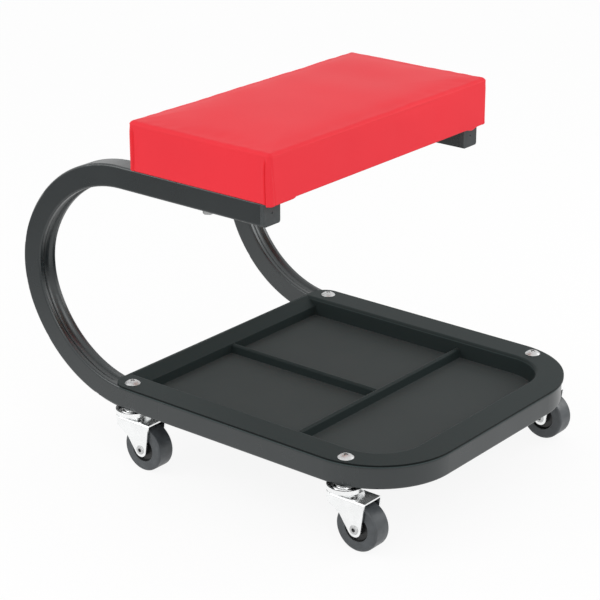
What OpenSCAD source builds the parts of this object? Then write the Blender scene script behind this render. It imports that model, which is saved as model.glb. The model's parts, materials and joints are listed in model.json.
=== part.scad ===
// Creeper seat: a padded bench on a frame of bent square tube, with a tool tray and four casters.
// Millimetres, +Z up. The origin is on the floor, under the middle of the object's box.
// +X runs along the bench, -Y is the tray's rounded end and +Y the back of the two loops.

/* [Frame tube] */
// Outer size of the square tube
tube = 25; // [22:0.5:30]
// Wall of the square tube
tube_wall = 1.5; // [1.2:0.1:2]
// Outer corner radius of the tube's section
tube_corner_r = 2.5; // [2.2:0.1:4]
// Width over the outer faces of the two side tubes
frame_w = 367; // [340:1:420]
// Length from the front tube's outer face to the back of the loops
frame_len = 512; // [490:1:560]
// Outer height of each loop
loop_h = 277; // [260:1:295]
// Outer radius at the back of each loop
loop_back_r = 117; // [105:1:125]
// Outer radius of the two bends that lead from a loop's back to its straights
loop_side_r = 153; // [149:1:165]
// Outer radius of the two front bends
front_bend_r = 90; // [80:1:100]
// Length from the back of a loop to the cut end of its arm
arm_len = 342.5; // [320:0.5:360]
// Radius of the round crease pressed into the inner wall of every bend
crease_r = 9; // [7:0.5:10]
// Depth of that crease
crease_depth = 3.5; // [2:0.25:4]
// Angle before the end of a bend at which its crease starts to run out
crease_stop = 12; // [10:1:20]
// Distance from the back casters' swivels forward to the welds between the front bow and the loops
weld_ahead = 48.5; // [30:0.5:120]

/* [End caps] */
// Thickness of the cap's face
cap_t = 5; // [3:0.5:7]
// Length of the ribbed plug inside the tube
cap_plug_len = 18; // [12:1:25]
// Number of fins on the plug
cap_fins = 3; // [2:1:4]
// Thickness of each fin
cap_fin_t = 1.6; // [1:0.1:2]

/* [Tool tray] */
// Width by which the tray's rim stands out past the tubes
tray_over = 2; // [0.5:0.5:4]
// Length of the tray, front to back
tray_len = 386; // [376:1:392]
// Thickness of the rim that lies on the tubes
tray_rim_t = 3; // [2.5:0.1:4]
// Thickness of the tray's walls and floor
tray_wall = 2.5; // [2:0.1:3]
// Depth from the rim's top to the floor
tray_depth = 20.5; // [18:0.5:22]
// Flat width of the rim at the sides and the front
tray_rim_w = 30; // [29:0.5:34]
// Radius of the rim's inner edge
tray_edge_r = 4.5; // [3:0.5:6]
// Radius of the pocket's two front corners
tray_corner_r = 50; // [48:1:70]
// Radius of the tray's two back corners
tray_back_r = 20; // [14:1:22]
// Height of the dividers above the floor
divider_h = 11; // [8:0.5:14]
// Width of a divider's round top
divider_w = 6; // [5.6:0.2:9]
// Length of the front bay, from the divider's middle to the front wall
front_bay = 126; // [110:1:140]
// Draft angle of the walls and dividers
tray_draft = 7; // [3:0.5:10]
// Length of the slope at the back of the pocket
back_slope_len = 14; // [10:0.5:18]

/* [Casters] */
// Height of the tube's underside above the floor
caster_h = 66; // [64:0.5:72]
// Wheel diameter
wheel_d = 51; // [46:0.5:51]
// Width of the wheel's tread
wheel_w = 22; // [18:0.5:22]
// Distance by which the wheel trails behind its swivel
caster_trail = 22; // [20:0.5:24]
// Distance between the front and back casters
caster_pitch = 292.5; // [285:0.5:296]
// Distance from the front tube's outer face to the front casters' swivels
caster_inset = 71; // [69:0.5:76]
// Width over the fork's legs
fork_w = 29; // [28.5:0.5:31]
// Thickness of the fork's steel
fork_sheet = 2; // [1.5:0.1:2.2]
// Reach of the fork's top plate in front of its swivel
fork_reach = 34.5; // [32:0.5:38]
// Radius of the rounded foot of a fork leg
fork_foot_r = 8; // [7:0.25:9]
// Outer radius of the raceway cup
cup_r = 19.5; // [17.5:0.5:22]
// Thickness of the cup's steel
cup_sheet = 1.8; // [1.4:0.1:2]
// Number of balls in a swivel
ball_count = 12; // [8:1:13]
// Diameter of each ball
ball_d = 4; // [3.6:0.1:4.2]
// Radius of the ring that the balls run on
ball_ring_r = 10.5; // [10:0.1:11]
// Running clearance of the swivels and wheels, on the radius
run_gap = 0.05; // [0.02:0.01:0.09]

/* [Seat] */
// Length of the seat pad, side to side
seat_w = 372.4; // [366:0.2:400]
// Depth of the seat pad, front to back
seat_d = 189.6; // [170:0.2:210]
// Height of the seat pad at its edge, board included
seat_h = 53.5; // [44:0.5:64]
// Rise of the seat's crown over its edge
seat_crown = 2; // [1:0.5:6]
// Distance by which the pad stands out in front of the arms' caps
seat_front_over = 10.7; // [6:0.1:16]
// Depth by which each side of the pad draws in between its corners
seat_draw = 1.2; // [0.4:0.2:2.4]
// Thickness of the plywood board
board_t = 12; // [9:0.5:15]
// Thickness of the vinyl cover
cover_t = 1; // [0.8:0.1:1.5]
// Width of the cover's hem under the board
hem_w = 34; // [32:0.5:38]
// Spacing of the staples along the hem, about
staple_pitch = 30; // [24:1:40]

/* [Fasteners] */
// Diameter of the screws that hold the tray and the casters
screw_d = 8; // [7:0.5:8]
// Diameter of a tray screw's head
screw_head_d = 17; // [15:0.5:18]
// Height of a tray screw's head
screw_head_h = 3.6; // [3:0.1:4.5]
// Diameter of the bolts that hold the seat
bolt_d = 6; // [5:0.5:7]

/* [Hidden] */
$fn = 64;

// One overrun serves every cut that passes right through
over = 2;
// Gap between two pieces that are fitted but don't grip
fit_gap = 0.3;

// Places of the frame, worked out from its box
front_y = -(frame_len + tray_over) / 2 + tray_over;
back_y = front_y + frame_len;
half_tube = tube / 2;
base_z = caster_h + half_tube;
base_top = caster_h + tube;
side_x = frame_w / 2 - half_tube;
arm_top = caster_h + loop_h;
arm_z = arm_top - half_tube;
// The loop is three arcs that meet without a kink; the joints are rounded to a few digits
loop_turn = round(asin((loop_side_r - loop_h / 2) / (loop_side_r - loop_back_r)) * 10000) / 10000;
back_arc_y = back_y - loop_back_r;
side_arc_y = round((back_arc_y - (loop_side_r - loop_back_r) * cos(loop_turn)) * 1000) / 1000;
arm_end_y = back_y - arm_len;
bend_y = front_y + front_bend_r;
bend_x = frame_w / 2 - front_bend_r;

// Places of the casters
caster_front_y = front_y + caster_inset;
caster_back_y = caster_front_y + caster_pitch;
caster_places = [[-side_x, caster_front_y], [side_x, caster_front_y],
                 [-side_x, caster_back_y], [side_x, caster_back_y]];
weld_y = caster_back_y - weld_ahead;

// Heights inside a caster, from the fork's top plate up to the tube
fork_drop = 9;
fork_top = caster_h - fork_drop;
race_rise = 1.7;
race_top = fork_top + race_rise;
race_depth = 0.7;
ball_z = race_top - race_depth + ball_d / 2;
race_r = ball_ring_r + ball_d / 2 + 1;
race_groove_r = ball_d / 2 + fit_gap / 6;
cup_groove_r = ball_d / 2 + fit_gap;
cup_bottom = race_top + cup_sheet;
cup_rim_gap = 0.8;
kingpin_r = screw_d / 2 + 2;
screw_gap = 0.15;
kingpin_flange_r = kingpin_r + 3;
kingpin_flange_t = 1.5;
kingpin_low = race_top - fork_sheet - fit_gap - kingpin_flange_t;
nut_t = screw_d * 0.62;
nut_af = screw_d * 1.625;

// The fork's outline, seen from the side
fork_nose = 17;
fork_nose_r = 8;
fork_nose_h = 6;
fork_knee = [-3.3, 38.3];
fork_edge_r = 3;
axle_z = wheel_d / 2;
axle_r = 3.5;
axle_hole_r = 2.2;
axle_head_r = 5.2;
axle_head_t = 1.2;
sleeve_r = 4.75;
hub_r = 7.5;
hub_gap = 0.8;
wheel_edge_r = 2.5;
recess_r = 14.5;
recess_slope = 1.5;
recess_depth = 3;

// Places of the tray
tray_top = base_top + tray_rim_t;
tray_floor = tray_top - tray_depth;
tray_front_y = front_y - tray_over;
tray_back_y = tray_front_y + tray_len;
tray_x = frame_w / 2 + tray_over;
pocket_x = tray_x - tray_rim_w - tray_edge_r;
pocket_front_y = tray_front_y + tray_rim_w + tray_edge_r;
back_flat = 3;
pocket_back_y = tray_back_y - back_flat;
heel_y = pocket_back_y - back_slope_len;
heel_z = tray_floor + divider_h;
divider_step = 0.5;
divider_tuck = 0.05;
cross_divider_y = pocket_front_y + front_bay;
draft_run = round((tray_depth - tray_edge_r) * tan(tray_draft) * 100) / 100;
screw_hole_r = screw_d / 2 + fit_gap;

// Places of the seat
seat_z = arm_top;
seat_front_y = arm_end_y - cap_t - seat_front_over;
seat_mid_y = seat_front_y + seat_d / 2;
board_z = seat_z + cover_t;
board_top = board_z + board_t;
seat_corner_r = 5;
seat_edge_r = 5;
board_edge_gap = 1.6;
bolt_head_h = bolt_d * 0.66;
bolt_af = bolt_d * 1.667;
washer_r = bolt_d * 1.05;
washer_t = 1.6;
bolt_end = board_top - 1;
tee_flange_r = bolt_d * 1.6;
tee_flange_t = 1.2;
tee_barrel_r = bolt_d / 2 + 1;
tee_barrel_len = 9;
staple_wire = 1;
staple_crown = 10;
staple_leg = 6;
staple_inset = 30;

// Colours, as the pieces look
tube_colour = "#2E3031";
plastic_colour = "#232627";
tray_colour = "#353A3A";
vinyl_colour = "#E8454C";
foam_colour = "#E9DDB0";
wood_colour = "#C9A36B";
zinc_colour = "#D5D7D8";
rubber_colour = "#3B3E40";

// 2D helpers
module rounded_rect(w, d, r) {
    square([w, d - 2 * r], center = true);
    square([w - 2 * r, d], center = true);
    for (sx = [-1, 1], sy = [-1, 1]) translate([sx * (w / 2 - r), sy * (d / 2 - r)]) circle(r);
}

module ring(r_in, r_out) {
    difference() {
        circle(r_out);
        circle(r_in);
    }
}

// The point where a line from p touches a circle at c on its left (side 1) or right (side -1)
function touch(p, c, r, side) =
    let (d = p - c, dist = norm(d), a = acos(r / dist), b = atan2(d[1], d[0]) + side * a)
    c + r * [cos(b), sin(b)];

// Frame: a front bow and two loops of bent tube, butt-welded and ground flush on the side straights.
// Each is drawn as straights and true arcs that end on shared planes.
module tube_section(inset) {
    rounded_rect(tube - 2 * inset, tube - 2 * inset, tube_corner_r - inset);
}

module straight(inset, from, to) {
    translate([from, 0, 0]) rotate([90, 0, 90]) linear_extrude(to - from) tube_section(inset);
}

function crease_ring_r(r) = r - tube - crease_r + crease_depth;

// Part of a bend, its angles counted from the +X side of its middle
module bend(inset, r, from, to, creased) {
    rotate_extrude(angle = to - from, start = from) difference() {
        translate([r - half_tube, 0]) tube_section(inset);
        if (creased) translate([crease_ring_r(r), 0]) circle(crease_r + inset);
    }
}

// A shift in two steps, so that no digits of it are lost
module fine_shift(v) {
    whole = [round(v[0] * 1000) / 1000, round(v[1] * 1000) / 1000, 0];
    translate(whole) translate([v[0], v[1], 0] - whole) children();
}

// The crease ends as the ball of the tool that pressed it
module end_bend(inset, r, from, to, joint) {
    difference() {
        bend(inset, r, from, to, false);
        fine_shift(crease_ring_r(r) * [cos(joint), sin(joint)]) sphere(crease_r + inset);
    }
}

module front_bend(inset) {
    end_bend(inset, front_bend_r, 0, crease_stop, crease_stop);
    bend(inset, front_bend_r, crease_stop, 90 - crease_stop, true);
    end_bend(inset, front_bend_r, 90 - crease_stop, 90, 90 - crease_stop);
}

// A loop lies flat here, x to the back and y up, and is stood up by place_loop
module place_loop(side) {
    translate([side * side_x, 0, 0]) rotate([90, 0, 90]) children();
}

module at_low_bend() {
    translate([side_arc_y, caster_h + loop_side_r, 0]) children();
}

module side_bend(inset) {
    bend(inset, loop_side_r, loop_turn, 90 - crease_stop, true);
    end_bend(inset, loop_side_r, 90 - crease_stop, 90, 90 - crease_stop);
}

module loop(inset, end_over) {
    apart = loop_side_r - loop_back_r;
    translate([0, base_z, 0]) straight(inset, weld_y - end_over, side_arc_y);
    at_low_bend() {
        mirror([0, 1, 0]) side_bend(inset);
        fine_shift(apart * [cos(loop_turn), -sin(loop_turn)]) for (half = [0, 1])
            mirror([0, half, 0]) bend(inset, loop_back_r, 0, loop_turn, true);
        fine_shift(apart * [0, -2 * sin(loop_turn)]) {
            side_bend(inset);
            translate([0, loop_side_r - half_tube, 0])
                straight(inset, arm_end_y - side_arc_y - end_over, 0);
        }
    }
}

module bow(inset, end_over) {
    for (side = [-1, 1]) place_loop(side) translate([0, base_z, 0])
        straight(inset, bend_y, weld_y + end_over);
    for (half = [0, 1]) mirror([half, 0, 0]) translate([bend_x, bend_y, base_z])
        mirror([0, 1, 0]) front_bend(inset);
    translate([0, front_y + half_tube, base_z]) straight(inset, -bend_x, bend_x);
}

module screw_holes(places) {
    for (p = places) translate([p[0], p[1], caster_h - over])
        cylinder(r = screw_hole_r, h = tube + 2 * over);
}

module base_tube() {
    color(tube_colour) difference() {
        bow(0, 0);
        bow(tube_wall, over);
        screw_holes([caster_places[0], caster_places[1]]);
    }
}

module loop_tube(side) {
    color(tube_colour) difference() {
        place_loop(side) loop(0, 0);
        place_loop(side) loop(tube_wall, over);
        screw_holes([caster_places[side < 0 ? 2 : 3]]);
        translate([side * side_x, seat_mid_y, arm_top - tube - over])
            cylinder(r = bolt_d / 2 + fit_gap, h = tube + 2 * over);
    }
}

// End cap: a face as wide as the tube, and a finned plug that grips its inside
module end_cap(side) {
    inner = tube - 2 * tube_wall;
    rib = inner - 2 * tube_wall;
    dimple_r = cap_t / 4;
    pitch = cap_plug_len / cap_fins;
    color(plastic_colour) translate([side * side_x, arm_end_y, arm_z]) rotate([90, 0, 0]) {
        difference() {
            linear_extrude(cap_t) rounded_rect(tube, tube, tube_corner_r);
            translate([0, 0, cap_t]) sphere(dimple_r);
        }
        translate([0, 0, -cap_plug_len]) linear_extrude(cap_plug_len) rounded_rect(rib, rib, tube_corner_r);
        for (i = [1:cap_fins]) translate([0, 0, -i * pitch + cap_fin_t])
            linear_extrude(cap_fin_t) rounded_rect(inner, inner, tube_corner_r - tube_wall);
    }
}

// Tray: a rim on the tubes and a drafted pocket between them, with two dividers
module tray_outline(depth) {
    corner_r = front_bend_r + tray_over;
    mid_y = tray_back_y - tray_back_r;
    translate([0, 0, tray_top - depth]) linear_extrude(depth) {
        translate([-tray_x, tray_front_y + corner_r]) square([2 * tray_x, mid_y - tray_front_y - corner_r]);
        translate([corner_r - tray_x, tray_front_y]) square([2 * (tray_x - corner_r), corner_r]);
        translate([tray_back_r - tray_x, mid_y]) square([2 * (tray_x - tray_back_r), tray_back_r]);
        for (side = [-1, 1]) {
            translate([side * (tray_x - corner_r), tray_front_y + corner_r]) circle(corner_r);
            translate([side * (tray_x - tray_back_r), mid_y]) circle(tray_back_r);
        }
    }
}

// Half of the pocket's section: reach is the distance from the section's foot to the wall's top
module pocket_section(reach, grow, top) {
    wall_top = tray_top - tray_edge_r;
    polygon([[0, tray_floor - grow], [reach - draft_run + grow, tray_floor - grow],
             [reach + grow, wall_top], [reach + grow, top], [0, top]]);
}

// The round edge from the pocket's wall to the rim's top
module edge_section(reach) {
    difference() {
        translate([0, tray_top - tray_edge_r]) square([reach + tray_edge_r, tray_edge_r + over]);
        translate([reach + tray_edge_r, tray_top - tray_edge_r]) circle(tray_edge_r);
    }
}

module pocket(grow, top, edged) {
    corner_y = pocket_front_y + tray_corner_r;
    corner_x = pocket_x - tray_corner_r;
    back_run = pocket_back_y + grow - corner_y;
    for (side = [0, 1]) mirror([side, 0, 0]) {
        translate([0, corner_y + back_run, 0]) rotate([90, 0, 0]) linear_extrude(back_run)
            section(pocket_x, grow, top, edged);
        translate([corner_x, corner_y, 0]) rotate([0, 0, -90]) rotate_extrude(angle = 90)
            section(tray_corner_r, grow, top, edged);
    }
    translate([-corner_x, corner_y, 0]) rotate([90, 0, 90]) mirror([1, 0, 0]) linear_extrude(2 * corner_x)
        section(tray_corner_r, grow, top, edged);
}

module section(reach, grow, top, edged) {
    pocket_section(reach, grow, top);
    if (edged) edge_section(reach);
}

// What stays solid under the slope at the pocket's back
module heel(grow) {
    slope = atan2(tray_top - heel_z, back_slope_len);
    low_z = heel_z - grow / cos(slope) + grow * tan(slope);
    far = back_slope_len + 2 * over;
    translate([-tray_x, 0, 0]) rotate([90, 0, 90]) linear_extrude(2 * tray_x)
        polygon([[heel_y + grow, tray_floor - tray_depth], [heel_y + grow, low_z],
                 [heel_y + grow + far, low_z + far * tan(slope)],
                 [heel_y + grow + far, tray_floor - tray_depth]]);
}

// A divider has a round top and drafted sides, and is hollow below; a side starts just inside the top
module divider_section(inset, lower) {
    r = divider_w / 2 - inset;
    mid_z = tray_floor + divider_h - lower - divider_w / 2;
    low_z = tray_floor - (inset > 0 ? tray_wall + over : tray_wall / 2);
    shoulder = r - divider_tuck;
    foot = shoulder + (mid_z - low_z) * tan(tray_draft);
    translate([0, mid_z]) circle(r);
    polygon([[-foot, low_z], [-shoulder, mid_z], [shoulder, mid_z], [foot, low_z]]);
}

module dividers(inset) {
    reach = pocket_x - draft_run / 2 - inset;
    back_reach = heel_y - cross_divider_y + tray_wall / 2 - inset;
    translate([-reach, cross_divider_y, 0]) rotate([90, 0, 90]) linear_extrude(2 * reach)
        divider_section(inset, 0);
    translate([0, cross_divider_y + back_reach, 0]) rotate([90, 0, 0]) linear_extrude(back_reach)
        divider_section(inset, divider_step);
}

module tool_tray() {
    color(tray_colour) difference() {
        union() {
            difference() {
                union() {
                    tray_outline(tray_rim_t);
                    difference() {
                        pocket(tray_wall, tray_top - tray_rim_t / 2, false);
                        heel(tray_wall);
                    }
                }
                difference() {
                    pocket(0, tray_top + over, true);
                    heel(0);
                }
            }
            dividers(0);
        }
        dividers(divider_w / 2 - tray_wall / 4);
        for (side = [-1, 1]) place_loop(side) at_low_bend() mirror([0, 1, 0])
            rotate_extrude(angle = 90) translate([loop_side_r - tube - fit_gap, -half_tube - fit_gap])
            square([tube, tube + 2 * fit_gap]);
        for (p = caster_places) translate([p[0], p[1], tray_top - tray_rim_t - over])
            cylinder(r = screw_hole_r, h = tray_rim_t + 2 * over);
    }
}

// Tray screws: truss heads with a cross recess, each through the tray, the tube and a caster's kingpin
module truss_head() {
    dome_r = (pow(screw_head_d / 2, 2) + pow(screw_head_h, 2)) / (2 * screw_head_h);
    slot_l = screw_head_d * 0.36;
    slot_w = screw_head_d * 0.08;
    slot_z = screw_head_h * 0.45;
    difference() {
        rotate_extrude() intersection() {
            translate([0, screw_head_h - dome_r]) circle(dome_r);
            square([screw_head_d / 2, screw_head_h]);
        }
        for (turn = [0, 90]) rotate([0, 0, turn]) translate([-slot_l / 2, -slot_w / 2, slot_z])
            cube([slot_l, slot_w, screw_head_h]);
    }
}

module tray_screws() {
    shank_end = kingpin_low - nut_t - screw_d / 5;
    color(zinc_colour) for (p = caster_places) translate([p[0], p[1], 0]) {
        translate([0, 0, tray_top]) truss_head();
        translate([0, 0, shank_end]) cylinder(d = screw_d, h = tray_top - shank_end);
    }
}

module lock_nuts() {
    color(zinc_colour) for (p = caster_places) translate([p[0], p[1], kingpin_low - nut_t]) difference() {
        rotate([0, 0, 30]) cylinder(d = nut_af / cos(30), h = nut_t, $fn = 6);
        translate([0, 0, -over]) cylinder(d = screw_d, h = nut_t + 2 * over);
    }
}

// Caster pieces, each about its own swivel axis
module at_caster(i) {
    translate([caster_places[i][0], caster_places[i][1], 0]) children();
}

// The cup is a dished plate: a boss against the tube, a groove over the balls and a turned-up rim
module cup(i) {
    groove_out = cup_groove_r + cup_sheet;
    boss_low = caster_h - cup_sheet;
    color(zinc_colour) at_caster(i) rotate_extrude() {
        translate([kingpin_r, boss_low]) square([ball_ring_r - kingpin_r, cup_sheet]);
        difference() {
            union() {
                translate([ball_ring_r, ball_z]) circle(groove_out);
                translate([ball_ring_r - groove_out, ball_z]) square([groove_out, boss_low - ball_z]);
            }
            translate([ball_ring_r, ball_z]) circle(cup_groove_r);
            translate([0, ball_z - 2 * ball_d]) square([2 * cup_r, 2 * ball_d + cup_bottom - ball_z]);
        }
        translate([ball_ring_r + cup_groove_r + cup_sheet / 2, cup_bottom])
            square([cup_r - ball_ring_r - cup_groove_r - cup_sheet / 2, cup_sheet]);
        translate([cup_r - cup_sheet, cup_bottom])
            square([cup_sheet, caster_h - cup_rim_gap - cup_bottom]);
    }
}

module kingpin(i) {
    color(zinc_colour) at_caster(i) difference() {
        union() {
            translate([0, 0, kingpin_low]) cylinder(r = kingpin_r, h = caster_h - kingpin_low);
            translate([0, 0, kingpin_low]) cylinder(r = kingpin_flange_r, h = kingpin_flange_t);
        }
        translate([0, 0, kingpin_low - over])
            cylinder(r = screw_d / 2 + screw_gap, h = caster_h - kingpin_low + 2 * over);
    }
}

module balls(i) {
    color(zinc_colour) at_caster(i) for (k = [0:ball_count - 1])
        rotate([0, 0, k * 360 / ball_count]) translate([ball_ring_r, 0, ball_z]) sphere(d = ball_d);
}

// Plan of the fork: a channel with a rounded nose behind the swivel and an open mouth in front
module fork_plan(inset, mouth) {
    half = fork_w / 2 - inset;
    r = fork_nose_r - inset;
    nose = fork_nose - inset;
    translate([-half, -fork_reach - mouth]) square([2 * half, fork_reach + mouth + nose - r]);
    translate([r - half, 0]) square([2 * (half - r), nose]);
    for (side = [-1, 1]) translate([side * (half - r), nose - r]) circle(r);
}

// The legs taper from the top plate to a round foot about the axle
module fork_side() {
    foot = [-caster_trail, axle_z];
    mouth_top = [-fork_reach, fork_top];
    knee = [fork_knee[0], fork_knee[1]];
    translate(foot) circle(fork_foot_r);
    polygon([[-fork_reach, fork_top + over], [-fork_reach, fork_top],
             touch(mouth_top, foot, fork_foot_r, 1), foot, touch(knee, foot, fork_foot_r, -1),
             knee, [fork_nose, fork_top - fork_nose_h], [fork_nose, fork_top + over]]);
}

module fork(i) {
    half = fork_w / 2;
    color(zinc_colour) at_caster(i) difference() {
        union() {
            intersection() {
                linear_extrude(fork_top) fork_plan(0, 0);
                translate([-half, 0, 0]) rotate([90, 0, 90]) linear_extrude(fork_w) fork_side();
            }
            translate([0, 0, fork_top - fork_sheet]) cylinder(r = race_r, h = fork_sheet + race_rise);
        }
        linear_extrude(fork_top - fork_sheet) fork_plan(fork_sheet, over);
        translate([0, 0, fork_top - 2 * fork_sheet])
            cylinder(r = race_r - fork_sheet, h = fork_sheet + race_rise);
        cylinder(r = kingpin_r + run_gap, h = caster_h);
        translate([0, 0, ball_z]) rotate_extrude() translate([ball_ring_r, 0]) circle(race_groove_r);
        translate([0, -caster_trail, axle_z]) rotate([0, 90, 0])
            cylinder(r = axle_r, h = fork_w + 2 * over, center = true);
        for (side = [-1, 1]) fold_edge(side);
    }
}

// Rounds the outer edge of the fork's top along one leg
module fold_edge(side) {
    half = fork_w / 2;
    mirror([side < 0 ? 1 : 0, 0, 0]) translate([0, fork_nose - fork_nose_r, 0]) rotate([90, 0, 0])
        linear_extrude(fork_reach + fork_nose + over) difference() {
            translate([half - fork_edge_r, fork_top - fork_edge_r]) square(fork_edge_r + over);
            translate([half - fork_edge_r, fork_top - fork_edge_r]) circle(fork_edge_r);
        }
}

module on_axle(i) {
    at_caster(i) translate([0, -caster_trail, axle_z]) rotate([0, 90, 0]) children();
}

// The axle is a tubular rivet, rolled over the legs at both ends
module axle(i) {
    half = fork_w / 2;
    color(zinc_colour) on_axle(i) difference() {
        union() {
            cylinder(r = axle_r, h = fork_w, center = true);
            for (side = [0, 1]) mirror([0, 0, side]) translate([0, 0, half])
                cylinder(r1 = axle_head_r, r2 = axle_head_r - axle_head_t / 2, h = axle_head_t);
        }
        cylinder(r = axle_hole_r, h = fork_w + 4 * axle_head_t, center = true);
    }
}

module sleeve(i) {
    color(zinc_colour) on_axle(i) rotate_extrude() translate([axle_r, fork_sheet - fork_w / 2])
        square([sleeve_r - axle_r, fork_w - 2 * fork_sheet]);
}

// The wheel is one moulding: a tread with round edges, a dished side and a hub
module wheel(i) {
    half = wheel_w / 2;
    rim = wheel_d / 2;
    hub_half = fork_w / 2 - fork_sheet - hub_gap;
    color(rubber_colour) on_axle(i) rotate_extrude() difference() {
        union() {
            translate([0, -hub_half]) square([hub_r, 2 * hub_half]);
            translate([0, -half]) square([rim - wheel_edge_r, wheel_w]);
            translate([0, wheel_edge_r - half]) square([rim, wheel_w - 2 * wheel_edge_r]);
            for (side = [-1, 1]) translate([rim - wheel_edge_r, side * (half - wheel_edge_r)])
                circle(wheel_edge_r);
        }
        translate([0, -2 * half]) square([sleeve_r + run_gap, 4 * half]);
        for (side = [0, 1]) mirror([0, side]) polygon([
            [hub_r, half - recess_depth], [recess_r - recess_slope, half - recess_depth],
            [recess_r, half], [recess_r, half + over], [hub_r, half + over]]);
    }
}

// Seat pad: rings of points from the board's edge up over the round edge to the crown
pad_side_steps = 5;
pad_corner_steps = 3;
pad_level_shares = [0, 0.25, 0.5, 0.8, 1];
pad_top_shares = [0.97, 0.85, 0.6, 0.3];

// One ring: a rounded rectangle whose sides draw in by draw at their middles
function pad_ring(w, d, r, draw, z) = [
    for (q = [0:3])
        let (turn = q * 90, a = (q % 2 == 0 ? w : d) / 2, b = (q % 2 == 0 ? d : w) / 2)
        for (k = [0:pad_side_steps + pad_corner_steps])
            let (p = k <= pad_side_steps
                ? let (t = -1 + 2 * k / pad_side_steps) [a - draw * (1 - t * t), t * (b - r)]
                : let (u = 90 * (k - pad_side_steps) / (pad_corner_steps + 1))
                    [a - r + r * cos(u), b - r + r * sin(u)])
            [p[0] * cos(turn) - p[1] * sin(turn), p[0] * sin(turn) + p[1] * cos(turn), z]];

module pad_form(inset, low) {
    w = seat_w - 2 * inset;
    d = seat_d - 2 * inset;
    r = seat_corner_r - inset;
    e = seat_edge_r - inset;
    edge_z = seat_z + seat_h - seat_edge_r;
    side_rings = [for (s = pad_level_shares)
        pad_ring(w, d, r, seat_draw * 4 * s * (1 - s), low + (edge_z - low) * s)];
    edge_rings = [for (u = [30, 60, 90])
        let (in = e * (1 - cos(u))) pad_ring(w - 2 * in, d - 2 * in, max(r - in, r / 3), 0, edge_z + e * sin(u))];
    top_rings = [for (s = pad_top_shares)
        pad_ring((w - 2 * e) * s, (d - 2 * e) * s, max(r - e, r / 3) * s, 0,
                 edge_z + e + seat_crown * (1 - pow(s, 4)))];
    rings = concat(side_rings, edge_rings, top_rings);
    n = len(rings[0]);
    last = len(rings) - 1;
    points = concat([for (ring = rings) for (p = ring) p],
                    [[0, 0, low], [0, 0, edge_z + e + seat_crown]]);
    walls = [for (i = [0:last - 1]) for (k = [0:n - 1])
        let (a = i * n + k, b = i * n + (k + 1) % n) each [[a, a + n, b], [b, a + n, b + n]]];
    caps = [for (k = [0:n - 1]) each [[k, (k + 1) % n, len(points) - 2],
        [last * n + (k + 1) % n, last * n + k, len(points) - 1]]];
    translate([0, seat_mid_y, 0]) polyhedron(points, concat(walls, caps));
}

module seat_cover() {
    color(vinyl_colour) difference() {
        pad_form(0, seat_z);
        pad_form(cover_t, board_z);
        translate([hem_w - seat_w / 2, seat_front_y + hem_w, seat_z - over])
            cube([seat_w - 2 * hem_w, seat_d - 2 * hem_w, cover_t + 2 * over]);
        at_seat_bolt(seat_z - over) cylinder(r = bolt_d / 2 + fit_gap, h = cover_t + 2 * over);
    }
}

module seat_foam() {
    color(foam_colour) difference() {
        pad_form(cover_t + fit_gap, board_z);
        translate([-seat_w / 2, seat_front_y, board_z - over]) cube([seat_w, seat_d, board_t + over]);
        for (side = [-1, 1]) translate([side * side_x, seat_mid_y, board_top - over])
            cylinder(r = tee_flange_r + fit_gap, h = tee_flange_t + fit_gap + over);
    }
}

module seat_board() {
    inset = cover_t + board_edge_gap;
    color(wood_colour) difference() {
        translate([0, seat_mid_y, board_z]) linear_extrude(board_t)
            rounded_rect(seat_w - 2 * inset, seat_d - 2 * inset, seat_corner_r);
        for (side = [-1, 1]) translate([side * side_x, seat_mid_y, board_z - over])
            cylinder(r = tee_barrel_r, h = board_t + 2 * over);
    }
}

// Staples run round the hem, clear of the arms
module staple() {
    translate([-staple_crown / 2, -staple_wire / 2, -staple_wire / 2])
        cube([staple_crown, staple_wire, staple_wire / 2]);
    for (side = [-1, 1]) translate([side * (staple_crown - staple_wire) / 2, 0, staple_leg / 2 - staple_wire / 2])
        cube([staple_wire, staple_wire, staple_leg], center = true);
}

module seat_staples() {
    run_x = seat_w - 2 * staple_inset - staple_crown;
    run_y = seat_d - 2 * staple_inset - staple_crown;
    count_x = floor(run_x / staple_pitch);
    count_y = floor(run_y / staple_pitch);
    color(zinc_colour) translate([0, seat_mid_y, seat_z]) {
        for (side = [-1, 1], k = [0:count_x])
            translate([run_x * (k / count_x - 1 / 2), side * (seat_d / 2 - staple_inset), 0]) staple();
        for (side = [-1, 1], k = [0:count_y])
            translate([side * (seat_w / 2 - staple_inset), run_y * (k / count_y - 1 / 2), 0])
                rotate([0, 0, 90]) staple();
    }
}

module at_seat_bolt(z) {
    for (side = [-1, 1]) translate([side * side_x, seat_mid_y, z]) children();
}

module seat_bolts() {
    head_top = arm_top - tube - washer_t;
    color(zinc_colour) at_seat_bolt(head_top - bolt_head_h) {
        cylinder(d = bolt_af / cos(30), h = bolt_head_h, $fn = 6);
        cylinder(d = bolt_d, h = bolt_end - head_top + bolt_head_h);
    }
}

module seat_washers() {
    color(zinc_colour) at_seat_bolt(arm_top - tube - washer_t) difference() {
        cylinder(r = washer_r, h = washer_t);
        translate([0, 0, -over]) cylinder(d = bolt_d, h = washer_t + 2 * over);
    }
}

module tee_nuts() {
    color(zinc_colour) at_seat_bolt(board_top) difference() {
        union() {
            cylinder(r = tee_flange_r, h = tee_flange_t);
            translate([0, 0, -tee_barrel_len]) cylinder(r = tee_barrel_r, h = tee_barrel_len);
        }
        translate([0, 0, -tee_barrel_len - over]) cylinder(d = bolt_d, h = tee_barrel_len + 2 * over);
    }
}

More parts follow.
